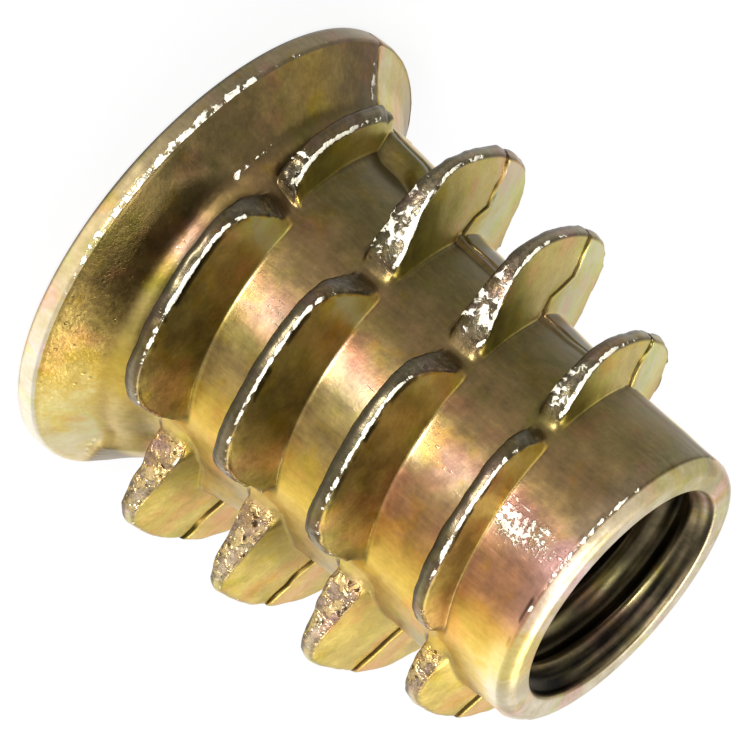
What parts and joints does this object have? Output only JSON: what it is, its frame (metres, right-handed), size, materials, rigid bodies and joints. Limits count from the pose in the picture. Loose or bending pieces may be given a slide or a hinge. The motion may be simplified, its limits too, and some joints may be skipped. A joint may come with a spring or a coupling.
{
  "type": "threaded insert",
  "caption": "Flanged die-cast threaded insert for wood, with a coarse interrupted outer thread, a metric thread inside and a hexagon socket in the flange.",
  "frame": {"origin": "centre of the flange's flat outer face, which the insert stands on", "axes": "+Z along the axis from the flange to the nose, +X through one corner of the hexagon socket, +Y across two of its flats"},
  "size_m": [0.012, 0.012, 0.013],
  "materials": {
    "chromated_zinc": "as-cast zinc alloy, satin, with a thin iridescent yellow chromate film over zinc plate"
  },
  "bodies": {
    "root": {"insert": "chromated_zinc"}
  },
  "joints": []
}
